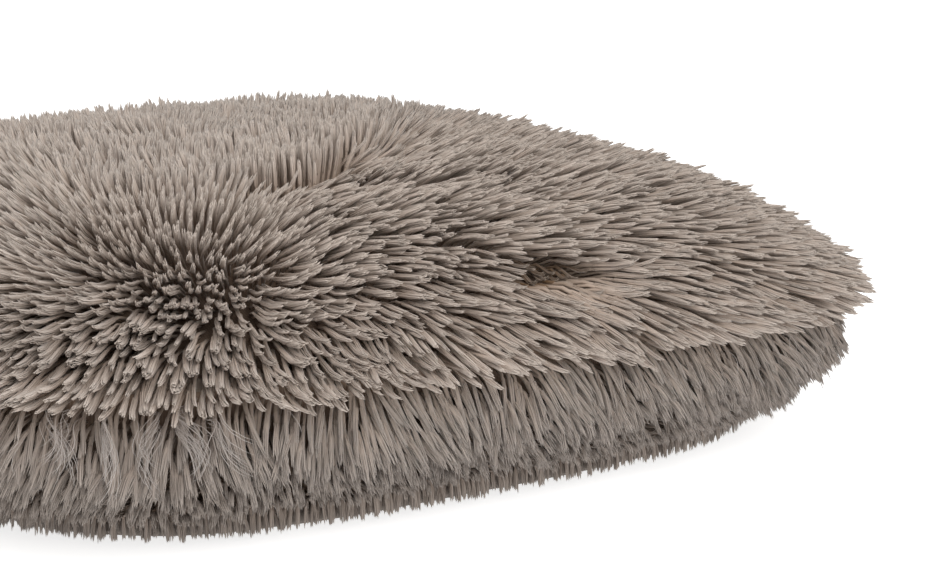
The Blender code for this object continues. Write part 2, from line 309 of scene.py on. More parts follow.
def fill_mesh(mesh, points, faces):
    """Give a mesh its points (n, 3) and its faces, an array of index rows."""
    count, sides = faces.shape
    mesh.vertices.add(len(points))
    mesh.vertices.foreach_set("co", np.ascontiguousarray(points, dtype=np.float32).ravel())
    mesh.loops.add(count * sides)
    mesh.loops.foreach_set("vertex_index", faces.astype(np.int32).ravel())
    mesh.polygons.add(count)
    mesh.polygons.foreach_set("loop_start", np.arange(0, count * sides, sides, dtype=np.int32))
    mesh.update(calc_edges=True)
    mesh.validate()


def add_mesh(name, points, faces, look, node=None):
    """A piece of the cover from points and an array or list of faces, which replaces a CAD node if one is
    named."""
    mesh = bpy.data.meshes.new(name)
    if isinstance(faces, np.ndarray):
        fill_mesh(mesh, points, faces)
    else:
        mesh.from_pydata([tuple(p) for p in points], [], faces)
    mesh.polygons.foreach_set("use_smooth", [True] * len(mesh.polygons))
    mesh.materials.append(look)
    made = add_object(name, mesh)
    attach(made, "cover")
    if node:
        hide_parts(node)
    return made


# ---- materials

def set_inputs(node, values):
    """Set a node's inputs by name, with _ for a space."""
    for key, value in values.items():
        node.inputs[key.replace("_", " ")].default_value = value
    return node


def node_material(name, **values):
    look = bpy.data.materials.new(name)
    look.use_nodes = True
    shader = set_inputs(look.node_tree.nodes["Principled BSDF"], values)
    return look, look.node_tree, shader


def add_node(tree, kind, **values):
    return set_inputs(tree.nodes.new(kind), values)


def ramp(tree, fac, stops):
    made = tree.nodes.new("ShaderNodeValToRGB")
    while len(made.color_ramp.elements) < len(stops):
        made.color_ramp.elements.new(0.5)
    for element, (place, color) in zip(made.color_ramp.elements, stops):
        element.position = place
        element.color = (*color, 1.0)
    tree.links.new(fac, made.inputs["Fac"])
    return made.outputs["Color"]


def math_node(tree, operation, a, b):
    made = tree.nodes.new("ShaderNodeMath")
    made.operation = operation
    for socket, value in zip(made.inputs, (a, b)):
        if isinstance(value, float):
            socket.default_value = value
        else:
            tree.links.new(value, socket)
    return made.outputs["Value"]


def times(tree, a, b):
    return math_node(tree, "MULTIPLY", a, b)


def plus(tree, a, b):
    return math_node(tree, "ADD", a, b)


def add_noise(tree, vector, scale, detail, roughness=0.5):
    noise = add_node(tree, "ShaderNodeTexNoise", Scale=scale, Detail=detail, Roughness=roughness)
    tree.links.new(vector, noise.inputs["Vector"])
    return noise.outputs["Fac"]


def add_bump(tree, shader, height, strength, distance):
    bump = add_node(tree, "ShaderNodeBump", Strength=strength, Distance=distance)
    tree.links.new(height, bump.inputs["Height"])
    tree.links.new(bump.outputs["Normal"], shader.inputs["Normal"])


def attribute(tree, name):
    made = tree.nodes.new("ShaderNodeAttribute")
    made.attribute_name = name
    return made.outputs["Fac"]


def fur_material(name, stops, streak, spread):
    """Fur: roots darker than the tips with painted shade down in the pile, a shade of its own for each tuft,
    and streaks along the fibres. Pile with a shade below 0, down in the slit's pit, is darker and richer with
    painted shade."""
    look, tree, shader = node_material(
        name, Roughness=0.82, Specular_IOR_Level=0.15, Sheen_Weight=0.15, Sheen_Roughness=0.45
    )
    link = tree.links.new
    along, shade, around = (attribute(tree, n) for n in ("along", "shade", "around"))
    place = tree.nodes.new("ShaderNodeCombineXYZ")
    for axis, value, scale in (("X", around, 9.0), ("Y", along, 1.6), ("Z", shade, 97.0)):
        link(times(tree, value, scale), place.inputs[axis])
    noise = add_noise(tree, place.outputs["Vector"], 1.0, 3.0, 0.6)
    lines = times(tree, plus(tree, noise, -0.5), streak * 2)
    own = times(tree, plus(tree, shade, -0.5), spread)
    # Painted shade: pile with a shade below 0, down in the slit's pit, is darkened and made richer
    dark = times(tree, math_node(tree, "MINIMUM", shade, 0.0), 0.62)
    tint = tree.nodes.new("ShaderNodeHueSaturation")
    # Painted shade: the ramp darkens each fibre towards its root, down in the pile
    link(ramp(tree, along, stops), tint.inputs["Color"])
    link(plus(tree, plus(tree, lines, own), plus(tree, dark, 1.0)), tint.inputs["Value"])
    link(plus(tree, times(tree, dark, -2.2), 1.0), tint.inputs["Saturation"])
    link(tint.outputs["Color"], shader.inputs["Base Color"])
    add_bump(tree, shader, noise, 0.5, 0.0004)
    return look


def cloth_material(name, dark, light, roughness, scale, bump):
    """Woven or knitted cloth: crossed threads in colour and bump, with soft mottling."""
    look, tree, shader = node_material(name, Specular_IOR_Level=0.2)
    where = tree.nodes.new("ShaderNodeTexCoord").outputs["Object"]
    heights = []
    for axis in ("X", "Y"):
        wave = add_node(tree, "ShaderNodeTexWave", Scale=scale / 7.0, Distortion=0.6, Detail=1.0)
        wave.bands_direction = axis
        tree.links.new(where, wave.inputs["Vector"])
        heights.append(wave.outputs["Fac"])
    weave = times(tree, *heights)
    noise = add_noise(tree, where, 30.0, 4.0)
    mixed = plus(tree, times(tree, weave, 0.5), noise)
    tree.links.new(ramp(tree, mixed, ((0.3, dark), (1.0, light))), shader.inputs["Base Color"])
    rough = plus(tree, times(tree, noise, 0.15), roughness - 0.08)
    tree.links.new(rough, shader.inputs["Roughness"])
    add_bump(tree, shader, weave, bump, 0.0003)
    return look


def metal_material(name, dark, light):
    """Plated zinc with fine scratches and duller patches."""
    look, tree, shader = node_material(name, Metallic=1.0)
    stretch = add_node(tree, "ShaderNodeMapping", Scale=(60.0, 900.0, 900.0))
    tree.links.new(tree.nodes.new("ShaderNodeTexCoord").outputs["Object"], stretch.inputs["Vector"])
    scratch = add_noise(tree, stretch.outputs["Vector"], 1.0, 5.0)
    color = ramp(tree, scratch, ((0.3, dark), (0.7, light)))
    tree.links.new(color, shader.inputs["Base Color"])
    rough = plus(tree, times(tree, scratch, 0.25), 0.2)
    tree.links.new(rough, shader.inputs["Roughness"])
    add_bump(tree, shader, scratch, 0.12, 0.0001)
    return look


# ---- tufts

def thin_out(points, spacing):
    """Numbers of the points to keep, so that no two are nearer than the spacing."""
    taken = {}
    keep = []
    for index, point in enumerate(points.tolist()):
        x, y, z = (math.floor(value / spacing) for value in point)
        cells = (taken.get((x + i, y + j, z + k), ()) for i, j, k in product((-1, 0, 1), repeat=3))
        if all(math.dist(other, point) >= spacing for cell in cells for other in cell):
            taken.setdefault((x, y, z), []).append(point)
            keep.append(index)
    return keep


def sample_roots(form, low, high, spacing, seed):
    """Evenly spread (bearing, slope) pairs on a form, no two nearer than the spacing."""
    rng = np.random.default_rng(seed)
    bearings = np.linspace(0.0, math.tau, 361)
    slopes = np.linspace(low, high, 121)
    points = form.at(*np.meshgrid(bearings, slopes, indexing="ij"))
    a = points[1:, :-1] - points[:-1, :-1]
    b = points[:-1, 1:] - points[:-1, :-1]
    area = np.linalg.norm(np.cross(a, b), axis=-1)
    total = area.sum()
    count = int(4.0 * total / spacing**2)
    cell = rng.choice(area.size, size=count, p=(area / total).ravel())
    i, j = np.unravel_index(cell, area.shape)
    bearing = bearings[i] + rng.random(count) * (bearings[1] - bearings[0])
    slope = slopes[j] + rng.random(count) * (slopes[1] - slopes[0])
    keep = thin_out(form.at(bearing, slope), spacing)
    return bearing[keep], slope[keep]


def rooted(low, high, spacing, seed):
    """Bearings and slopes of tufts between two slopes, their roots on the backing, and the points and normals
    of the cushion's surface over them."""
    bearing, slope = sample_roots(INNER, low, high, spacing, seed)
    return bearing, slope, INNER.at(bearing, slope), OUTER.at(bearing, slope), OUTER.normal(bearing, slope)


def clump_pull(tips, seed, spacing, strength):
    """Draw neighbouring tips together into clumps."""
    rng = np.random.default_rng(seed)
    shift = rng.uniform(0, spacing, 3)
    warp = np.stack([waves(seed + k, spacing * 4)(tips) for k in (1, 2, 3)], -1) * spacing * 0.6
    cells = np.floor((tips + shift + warp) / spacing).astype(np.int64)
    _, owner, size = np.unique(cells, axis=0, return_inverse=True, return_counts=True)
    owner = owner.ravel()
    middle = np.zeros((len(size), 3))
    np.add.at(middle, owner, tips)
    middle /= size[:, None]
    amount = (strength * rng.uniform(0.4, 1.3, len(size))[owner])[:, None]
    return tips + (middle[owner] - tips) * np.clip(amount, 0.0, 0.85)


def bezier(p, t):
    """Points and unit tangents of cubic curves p (n, 4, 3) at parameters t (m,) or (n, m)."""
    t = np.broadcast_to(t, (len(p), np.shape(t)[-1]))[..., None]
    a, b, c, d = (p[:, None, k] for k in range(4))
    u = 1.0 - t
    spot = u**3 * a + 3 * u**2 * t * b + 3 * u * t**2 * c + t**3 * d
    way = 3 * u**2 * (b - a) + 6 * u * t * (c - b) + 3 * t**2 * (d - c)
    return spot, unit(way)


def tube_faces(rings, sides):
    """Triangles of a tube of rings that ends in one tip point."""
    faces = []
    for ring in range(rings - 1):
        for k in range(sides):
            a, b = ring * sides + k, ring * sides + (k + 1) % sides
            faces += [(a, b, b + sides), (a, b + sides, a + sides)]
    last = (rings - 1) * sides
    faces += [(last + k, last + (k + 1) % sides, rings * sides) for k in range(sides)]
    return np.array(faces)


def build_tubes(curves, t, across, radii, lobes, flat=1.0, offset=None):
    """Points (n, v, 3) of tapered tubes along curves. lobes, (n, sides) or (1, sides), scales each side's
    radius, and offset moves the tubes off their curves."""
    spot, way = bezier(curves, t)
    side = unit(across[:, None, :] - way * dot(across[:, None, :], way))
    up = np.cross(way, side)
    if offset is not None:
        spot = spot + side * offset[..., 0:1] + up * offset[..., 1:2]
    rings = spot.shape[1] - 1
    sides = lobes.shape[1]
    angle = np.arange(sides) * math.tau / sides
    wide = radii[:, :rings, None] * lobes[:, None, :]
    ring = (
        spot[:, :rings, None]
        + side[:, :rings, None] * (wide * np.cos(angle))[..., None]
        + up[:, :rings, None] * (wide * np.sin(angle) * flat)[..., None]
    )
    body = ring.reshape(len(curves), rings * sides, 3)
    return np.concatenate([body, spot[:, -1:]], 1)


def tuft_cores(curves, across, size, pile, rng):
    """The tapered core of each tuft: points, triangles, and their places along and around it."""
    radii = (size * pile.radius)[:, None] * CORE_TAPER
    lobes = rng.uniform(0.75, 1.25, (len(curves), CORE_SIDES))
    body = build_tubes(curves, CORE_STEPS, across, radii, lobes, 0.8)
    rings = len(CORE_STEPS) - 1
    along = np.append(np.repeat(CORE_STEPS[:-1], CORE_SIDES), CORE_STEPS[-1])
    around = np.append(np.tile(np.arange(CORE_SIDES) / CORE_SIDES, rings), 0.5)
    return body, tube_faces(rings, CORE_SIDES), along, around


def tuft_frays(curves, across, size, pile, k, rng):
    """Fibre number k of each tuft, which leaves the core halfway and spreads towards the tip."""
    count = len(curves)
    end = rng.uniform(0.92, 1.06, (count, 1))
    angle = (k + rng.uniform(-0.45, 0.45, (count, 1))) * math.tau / pile.frays
    spread = rng.uniform(0.2, 1.5, (count, 1)) * pile.splay
    out = (size * pile.radius)[:, None] * (FRAY_OUT + FRAY_SPREAD * spread)
    offset = np.stack([np.cos(angle) * out, np.sin(angle) * out * 0.85], -1)
    radii = pile.fray_radius * size[:, None] * FRAY_TAPER
    body = build_tubes(curves, FRAY_STEPS * end, across, radii, np.ones((1, 3)), 1.0, offset)
    along = np.append(np.repeat(FRAY_STEPS[:-1], 3), FRAY_STEPS[-1])
    turns = np.tile(np.array([0.1, 0.5, 0.9]), 3)
    around = (k + np.append(turns, 0.5)) / pile.frays
    return body, tube_faces(3, 3), along, around


def tuft_meshes(curves, across, size, pile, tone=0.0, painted_shade_share=0.0):
    """The cores and frayed fibres of tufts, with their attributes. A tone above 0 makes tufts lighter and one
    below 0 darker, and the last argument gives the tufts down in the slit's pit their painted shade."""
    rng = np.random.default_rng(pile.seed)
    count = len(curves)
    shade = np.clip(rng.random(count) * (1.0 - np.abs(tone)) + np.maximum(tone, 0.0), 0.0, 1.0)
    # Painted shade for the pile down in the slit's pit
    shade = shade * (1.0 - painted_shade_share) + PIT_PAINTED_SHADE * painted_shade_share
    parts = [(*tuft_cores(curves, across, size, pile, rng), shade)]
    for k in range(pile.frays):
        fibres = tuft_frays(curves, across, size, pile, k, rng)
        own = np.clip(shade + rng.uniform(-0.30, 0.30, count), PIT_PAINTED_SHADE, 1.0)
        parts.append((*fibres, own))
    return parts


def number_faces(count, size, tris):
    """Triangles of count equal bodies of size points each."""
    return ((np.arange(count) * size)[:, None, None] + tris[None]).reshape(-1, 3)


def gather(parts, chosen):
    """Number the chosen tufts' vertices and join them into one set of arrays."""
    points, faces, along, around, shade = [], [], [], [], []
    start = 0
    for body, tris, run, turn, own in parts:
        body = body[chosen]
        count, size = body.shape[:2]
        points.append(body.reshape(-1, 3))
        faces.append(start + number_faces(count, size, tris))
        along.append(np.tile(run, count))
        around.append(np.tile(turn, count))
        shade.append(np.repeat(own[chosen], size))
        start += count * size
    return [np.concatenate(part) for part in (points, faces, along, around, shade)]


def add_bake_map(mesh, along, lane):
    """A UV map for baking, with each fibre in a lane of its own and its length along U."""
    layer = mesh.uv_layers.new(name="OFBake")
    corner = np.zeros(len(mesh.loops), dtype=np.int32)
    mesh.loops.foreach_get("vertex_index", corner)
    uv = np.stack([0.02 + 0.96 * along[corner], lane[corner]], -1)
    layer.data.foreach_set("uv", uv.astype(np.float32).ravel())


def fur_piece(name, parts, chosen, look, node):
    """One piece of fur from the chosen tufts, with the attributes that its material reads."""
    points, faces, along, around, shade = gather(parts, chosen)
    mesh = add_mesh(name, points, faces, look, node).data
    for label, values in (("along", along), ("around", around), ("shade", shade)):
        layer = mesh.attributes.new(label, "FLOAT", "POINT")
        layer.data.foreach_set("value", np.ascontiguousarray(values, dtype=np.float32))
    add_bake_map(mesh, along, 0.01 + 0.92 * (shade - PIT_PAINTED_SHADE) / (1.0 - PIT_PAINTED_SHADE) + 0.06 * around)


def fur_pieces(label, parts, bearing, count, look, node):
    """Cut the tufts into pieces of equal size round the cushion."""
    order = np.argsort(np.mod(bearing, math.tau), kind="stable")
    for k, chosen in enumerate(np.array_split(order, count)):
        fur_piece(f"{label}_{k + 1:02d}", parts, np.sort(chosen), look, node)


def tuft_curves(roots, tops, tips, normals, way, reach, rise):
    """Each tuft rises from the backing along the normal and bends over the way the pile lies."""
    second = roots + (tops - roots) * 0.58
    third = tips - way * (0.45 * reach)[:, None] - normals * rise[:, None]
    return np.stack([roots, second, third, tips], 1)


def nearest_outer(points):
    """Bring points that stand off the cushion back to its outer surface, by scaling from its middle."""
    middle = SEAM_Z * UP
    ray = points - middle
    reach = outline_share(ray[:, 0], ray[:, 1], HALF_LENGTH, HALF_WIDTH)
    low, high = np.full(len(points), 0.2), np.full(len(points), 2.5)
    for _ in range(30):
        scale = (low + high) / 2
        s = np.minimum(reach * scale, 1.0)
        over = CROWN * np.maximum(1 - s**CROWN_POWER, 0) ** CROWN_ROUNDING
        under = SEAM_Z * np.sqrt(np.maximum(1 - s**BELLY_POWER, 0))
        room = np.where(ray[:, 2] > 0, over, under)
        inside = (np.abs(ray[:, 2]) * scale < room) & (reach * scale < 1.0)
        low = np.where(inside, scale, low)
        high = np.where(inside, high, scale)
    return middle + ray * scale[:, None]


# ---- top pile

def parting_side(points):
    """How far points lie behind the parting, which turns backwards at its right end."""
    turn = np.maximum(points[:, 0] - PARTING_BEND, 0.0)
    return points[:, 1] - PARTING_Y - turn + 0.010 * waves(16, 0.055)(points)


def slit_place(flat):
    """Distance of points from the slit's line, which side of it they are on, and the share of its length."""
    line = SLIT[1] - SLIT[0]
    share = np.clip(((flat - SLIT[0]) @ line) / (line @ line), 0.0, 1.0)
    off = flat - (SLIT[0] + share[:, None] * line)
    return np.linalg.norm(off, axis=-1), off[:, 1], share


def pit_share(gap, share):
    """How much of the slit's dark pit points are in, from 0 to 1."""
    reach = PIT_REACH[0] - (PIT_REACH[0] - PIT_REACH[1]) * share
    return smooth_step(1.5, 0.7, gap / reach)


def parted_flow(points):
    """The top pile's flow round the whorl and the parting: way, lean, rise and share of the front flow."""
    x = points[:, 0]
    away = points[:, :2] - WHORL
    far = np.linalg.norm(away, axis=-1)
    side = parting_side(points)
    known = smooth_step(PARTING_X[0] - 0.03, PARTING_X[0] + 0.03, x)
    short = smooth_step(PARTING_X[1] + 0.07, PARTING_X[1], x)
    soft = 0.004 + np.clip(0.80 * (x - 0.030), 0.0, 0.100)
    behind = known * smooth_step(-soft, soft, side)
    front = (known - behind) * smooth_step(0.045, 0.120, far)
    ahead = unit(np.stack([0.12 + 2.6 * np.maximum(x - 0.05, 0.0), np.full(len(x), -1.0)], -1))
    way = unit(unit(away) * (1.0 - 0.72 * front)[:, None] + ahead * (0.95 * front)[:, None])
    back = (behind * smooth_step(0.16, 0.03, side))[:, None]
    way = unit(way * (1.0 - 0.8 * back) + np.array([0.05, 1.0]) * back)
    upright = behind * short * smooth_step(0.11, 0.03, side)
    before = known * short * bell(side + 0.016, 0.024) * (1.0 - behind)
    lean = smooth_step(0.0, WHORL_REACH, far)
    rise = -0.002 * (1.0 - lean) - 0.011 * before + 0.007 * upright * bell(side - 0.014, 0.024)
    return way, lean * (1.0 - 0.85 * upright) * (1.0 + 0.25 * front), rise, front


def slit_flow(flat, way, lean, rise, front):
    """Change the flow at the slit: pile sinks into it, stands up behind it, and fans out in front of it."""
    gap, which, share = slit_place(flat)
    along = (flat[:, 0] - SLIT[0, 0] - FAN_REACH * 0.44) / (FAN_REACH * 0.56)
    across = (flat[:, 1] - SLIT[0, 1] + 0.013) / FAN_HALF_WIDTH
    fan = smooth_step(1.12, 0.80, np.hypot(along, across)) * smooth_step(0.002, -0.002, which)
    swirl = unit(flat - SLIT[0] + np.array([0.012, 0.006]))
    way = unit(way * (1.0 - fan)[:, None] + swirl * (1.3 * fan)[:, None])
    lip = bell(gap, 0.010) * smooth_step(-0.002, 0.002, which) * (1.0 - fan)
    pit = pit_share(gap, share)
    lean = lean * (1.0 - 0.65 * lip) * (1.0 - 0.6 * pit)
    rise = rise - 0.009 * fan * smooth_step(0.032, 0.006, gap) - PIT_DEPTH * pit
    return way, lean, rise, front * (1.0 - fan) * (1.0 - lip)


def top_flow(points, normals):
    """The way the top pile lies, how strongly (0 upright, 1 fully over), how much higher it stands, and how
    much of the pile's front flow a point has."""
    way, lean, rise, over = slit_flow(points[:, :2], *parted_flow(points))
    own = np.random.default_rng(81).normal(0.0, 0.13, len(points))
    turn = 0.24 * waves(3, 0.11)(points) + 0.20 * waves(4, 0.035)(points) + own
    c, s = np.cos(turn), np.sin(turn)
    level = xyz(way[:, 0] * c - way[:, 1] * s, way[:, 0] * s + way[:, 1] * c, 0.0)
    down = normals * normals[:, 2:3] - UP
    steep = 0.75 + 0.9 * (1.0 - normals[:, 2:3]) ** 2
    return unit(level - normals * dot(level, normals) + steep * down), lean, rise, over


def trim_overhang(tips, normals, slope, rng):
    """Draw the tips that hang below the seam up to a ragged edge, which droops at the right corner and has a
    few longer locks."""
    count = len(tips)
    droop = np.exp(-(((tips[:, :2] - RIGHT_CORNER) ** 2).sum(-1) / DROOP_REACH**2))
    ragged = 0.006 * waves(7, 0.07)(tips) + 0.005 * waves(18, 0.020)(tips) + rng.normal(0.0, 0.003, count)
    long = (slope < 0.11) & (rng.random(count) < LONG_SHARE)
    edge = SEAM_Z + 0.005 - 0.016 * droop + ragged - long * rng.uniform(0.006, 0.026, count)
    below = np.minimum(tips[:, 2] - edge, 0.0)
    tips[:, 2] -= below * 0.66
    tips[:, 2] -= long * np.clip(tips[:, 2] - edge, 0.0, 0.022)
    tips[:, :2] -= unit(normals[:, :2]) * below[:, None] * 0.15


def make_top_fur(look):
    """The long pile of the top, rooted all over its backing apart from the slit."""
    rng = np.random.default_rng(11)
    bearing, slope, roots, tops, normals = rooted(0.015, math.pi / 2, TOP_SPACING, 21)
    gap, _, share = slit_place(tops[:, :2])
    kept = gap > SLIT_HALF_WIDTH * (1.0 - 0.6 * share)
    # How much painted shade the pile down in the slit's pit takes
    painted_shade_share = pit_share(gap, share)[kept]
    bearing, slope, roots, tops, normals = (v[kept] for v in (bearing, slope, roots, tops, normals))
    count = len(roots)
    way, lean, rise, over = top_flow(tops, normals)
    steep = smooth_step(0.80, 0.35, normals[:, 2])
    reach = TOP_LEAN * lean * rng.uniform(0.75, 1.2, count)
    reach = reach * (1.0 - 0.10 * over) * (1.0 - 0.45 * steep) + 0.002
    calm = smooth_step(-0.08, 0.06, tops[:, 1]) * smooth_step(0.30, 0.05, tops[:, 0])
    height = rng.normal(0.0, 0.0018, count) * (1.0 - 0.5 * calm) + 0.0025 * waves(5, 0.05)(tops)
    height = height - 0.002 + rise + 0.002 * calm
    aim = tops + way * reach[:, None]
    tips = nearest_outer(aim) * 0.6 + aim * 0.4 + normals * height[:, None]
    trim_overhang(tips, normals, slope, rng)
    tips = clump_pull(tips, 31, CLUMP_SPACING, 0.42 * np.clip(lean, 0.0, 1.0) ** 2)
    stand = 0.012 * (1.0 - over) + (0.0045 + 0.005 * steep + 0.005 * rng.random(count)) * over
    curves = tuft_curves(roots, tops, tips, normals, way, reach, stand)
    size = rng.uniform(0.8, 1.25, count)
    # Painted light and shade: the top pile is lighter towards -X and darker towards +X, evening out how the
    # light falls on it
    tone = 0.35 * smooth_step(0.12, -0.06, tops[:, 0]) - 0.35 * smooth_step(0.08, 0.20, tops[:, 0])
    parts = tuft_meshes(curves, unit(np.cross(normals, way)), size, TOP_PILE, tone, painted_shade_share)
    fur_pieces("top_fur", parts, bearing, TOP_SECTORS, look, "top_plush_panel")


# ---- band pile

def band_flow(points, normals):
    """The band's pile hangs, and trails away from the corner under the whorl."""
    away = unit(points[:, :2] - WHORL)
    level = xyz(away[:, 0], away[:, 1], 0.0)
    level = level - normals * dot(level, normals)
    own = np.random.default_rng(82).normal(0.0, 0.12, len(points))
    turn = 0.20 * waves(8, 0.06)(points) + 0.10 * waves(9, 0.02)(points) + own
    return unit(-UP + 0.36 * level + turn[:, None] * unit(np.cross(normals, -UP)))


def belly_height(points):
    """Height of the outer surface under the seam, over the given points."""
    reach = outline_share(points[:, 0], points[:, 1], HALF_LENGTH, HALF_WIDTH)
    return SEAM_Z * (1.0 - np.sqrt(np.maximum(1.0 - np.minimum(reach * 0.985, 1.0) ** BELLY_POWER, 0.0)))


def make_band_fur(look):
    """The hanging pile of the band: longer and lighter locks at the top, short and darker rows below."""
    rng = np.random.default_rng(12)
    bearing, slope, roots, tops, normals = rooted(BASE_SLOPE, -0.015, BAND_SPACING, 22)
    count = len(roots)
    way = band_flow(tops, normals)
    under = smooth_step(0.22, 0.5, -slope)
    upper = smooth_step(-0.19, -0.13, slope + 0.02 * waves(17, 0.035)(tops))
    locks = 0.72 + 0.55 * upper + 0.22 * upper * waves(19, 0.03)(tops)
    reach = BAND_LEAN * (1.0 - 0.5 * under) * locks * rng.uniform(0.7, 1.2, count)
    tuck = 0.011 * smooth_step(-0.20, 0.0, slope) ** 1.5
    height = rng.normal(0.0, 0.0014, count) + 0.0022 * waves(6, 0.045)(tops) - 0.002 - tuck
    height = height - 0.0035 * np.maximum(under, 1.0 - upper) + 0.0015 * upper
    aim = tops + way * reach[:, None]
    tips = nearest_outer(aim) * 0.8 + aim * 0.2 + normals * height[:, None]
    tips = clump_pull(tips, 32, CLUMP_SPACING * 0.75, 0.36)
    tips[:, 2] = np.maximum(tips[:, 2], belly_height(tips) + 0.002 * rng.random(count))
    stand = np.full(count, 0.006)
    curves = tuft_curves(roots, tops - normals * tuck[:, None], tips, normals, way, reach, stand)
    curves[:, :, 2] = np.maximum(curves[:, :, 2], 0.004)
    size = rng.uniform(0.75, 1.2, count)
    tone = 0.30 * upper - 0.30 * (1.0 - upper)
    parts = tuft_meshes(curves, unit(np.cross(normals, way)), size, BAND_PILE, tone)
    fur_pieces("band_fur", parts, bearing, BAND_SECTORS, look, "lower_plush_band")


def make_fringe(look):
    """The short dense pile round the bottom edge, which hides where the band is sewn to the base."""
    rng = np.random.default_rng(13)
    bearing, slope = sample_roots(INNER, BASE_SLOPE - 0.01, BASE_SLOPE + 0.08, FRINGE_SPACING, 23)
    roots = INNER.at(bearing, slope)
    count = len(roots)
    out = OUTER.normal(bearing, np.full(count, -0.02))
    side = np.cross(out, UP)
    reach = 0.002 + 0.003 * rng.random(count) + 0.001 * waves(14, 0.03)(roots)
    tips = roots + out * reach[:, None] + side * rng.normal(0.0, 0.002, (count, 1))
    tips[:, 2] = 0.0048 + 0.0018 * rng.random(count)
    first = roots + out * (0.55 * reach)[:, None]
    second = tips - out * (0.12 * reach)[:, None] + 0.007 * UP
    curves = np.stack([roots, first, second, tips], 1)
    parts = tuft_meshes(curves, side, rng.uniform(0.8, 1.2, count), FRINGE_PILE)
    fur_pieces("bottom_fringe", parts, bearing, FRINGE_SECTORS, look, "lower_plush_band")


def per_fibre(of_locks, of_singles):
    """Values of loose fibres: each lock's value for all its fibres, then those of the single fibres."""
    return np.concatenate([np.repeat(of_locks, STRAY_PER_LOCK, axis=0), of_singles])


def stray_curves(start, out, side, rng):
    """Curves of the loose fibres: out of the seam, then down, with the fibres of a lock curling alike."""
    count = len(start)
    drift = per_fibre(rng.normal(0.0, 0.014, STRAY_LOCKS), rng.normal(0.0, 0.006, STRAY_AROUND))
    drift = drift + rng.normal(0.0, 0.0025, count)
    length = per_fibre(rng.uniform(0.022, 0.038, STRAY_LOCKS), rng.uniform(0.010, 0.022, STRAY_AROUND))
    fall = (length * rng.uniform(0.7, 1.1, count))[:, None] * UP
    curl = per_fibre(rng.normal(0.0, 0.016, (STRAY_LOCKS, 2)), rng.normal(0.0, 0.007, (STRAY_AROUND, 2)))
    curl = curl + rng.normal(0.0, 0.0018, curl.shape)
    first, second = curl[:, :1], curl[:, 1:]
    near = start + out * (0.010 + first) + side * second
    sway = drift[:, None] * 0.5 - second * 2.2
    far = near + out * 0.002 + side * sway - fall * 0.45
    end = far - out * 0.003 + side * (second * 1.6 + first) - fall * 0.55
    return np.stack([start, near, far, end], 1)


def make_stray_fibres(look):
    """Fine light fibres that have worked loose at the seam, in locks at the corner under the whorl and singly
    elsewhere."""
    rng = np.random.default_rng(15)
    spots = rng.uniform(-0.5, 0.5, STRAY_LOCKS) * 0.44 + math.radians(238.0)
    chosen = np.repeat(spots, STRAY_PER_LOCK)
    bearing = chosen + rng.normal(0.0, 0.004, len(chosen))
    bearing = np.concatenate([bearing, rng.uniform(0.0, math.tau, STRAY_AROUND)])
    count = len(bearing)
    slope = rng.uniform(-0.10, -0.004, count)
    start = Form(0.012, 0.0, BELLY_POWER).at(bearing, slope)
    out = OUTER.normal(bearing, np.full(count, -0.03))
    side = np.cross(out, UP)
    curves = stray_curves(start, out, side, rng)
    t = np.array([0.0, 0.15, 0.3, 0.45, 0.6, 0.75, 0.9, 1.0])
    radii = rng.uniform(0.00012, 0.00020, (count, 1)) * np.array([1, 1, 1, 1, 0.95, 0.9, 0.7, 0.0])
    body = build_tubes(curves, t, side, radii, np.ones((1, 4)))
    along = np.append(np.repeat(t[:-1], 4), 1.0)
    around = np.append(np.tile(np.arange(4) / 4.0, 7), 0.5)
    parts = [(body, tube_faces(7, 4), along, around, rng.random(count))]
    fur_piece("stray_fibres", parts, np.arange(count), look, "lower_plush_band")


# ---- bodies

def grid_quads(rows, columns, wrap=False):
    """Quads of a grid of points numbered row by row. wrap joins the last column to the first."""
    row, column = np.meshgrid(np.arange(rows - 1), np.arange(columns if wrap else columns - 1), indexing="ij")
    a = row * columns + column
    b = row * columns + (column + 1) % columns
    return np.stack([a, b, b + columns, a + columns], -1).reshape(-1, 4)


def slab(under, over):
    """A closed body between two grids of points of the same shape (rows, columns, 3)."""
    rows, columns = under.shape[:2]
    count = rows * columns
    index = np.arange(count).reshape(rows, columns)
    rim = np.concatenate([index[0, :-1], index[:-1, -1], index[-1, :0:-1], index[:0:-1, 0]])
    after = np.roll(rim, -1)
    quads = grid_quads(rows, columns)
    walls = np.stack([rim, after, after + count, rim + count], -1)
    points = np.concatenate([under.reshape(-1, 3), over.reshape(-1, 3)])
    return points, np.concatenate([quads[:, ::-1], quads + count, walls])


def form_skin(form, low, high, rings, around, push=None):
    """Points (rings, around, 3) of a form between two slopes. push moves them along the normal."""
    bearings = np.linspace(0.0, math.tau, around, endpoint=False)
    grid_b, grid_s = np.meshgrid(bearings, np.linspace(low, high, rings))
    points = form.at(grid_b, grid_s)
    if push is None:
        return points
    return points + form.normal(grid_b, grid_s) * push(points.reshape(-1, 3)).reshape(rings, around, 1)


def shell(form_out, form_in, low, high, rings, around, push):
    """A closed shell between two forms, all the way round. push moves the outer face along its normal."""
    outside = form_skin(form_out, low, high, rings, around, push)
    inside = form_skin(form_in, low, high, rings, around)
    count = rings * around
    quads = grid_quads(rings, around, wrap=True)
    ring = np.arange(around)
    after = (ring + 1) % around
    start = np.stack([ring, ring + count, after + count, after], -1)
    end = np.stack([ring, after, after + count, ring + count], -1) + (rings - 1) * around
    points = np.concatenate([outside.reshape(-1, 3), inside.reshape(-1, 3)])
    return points, np.concatenate([quads, quads[:, ::-1] + count, start, end])


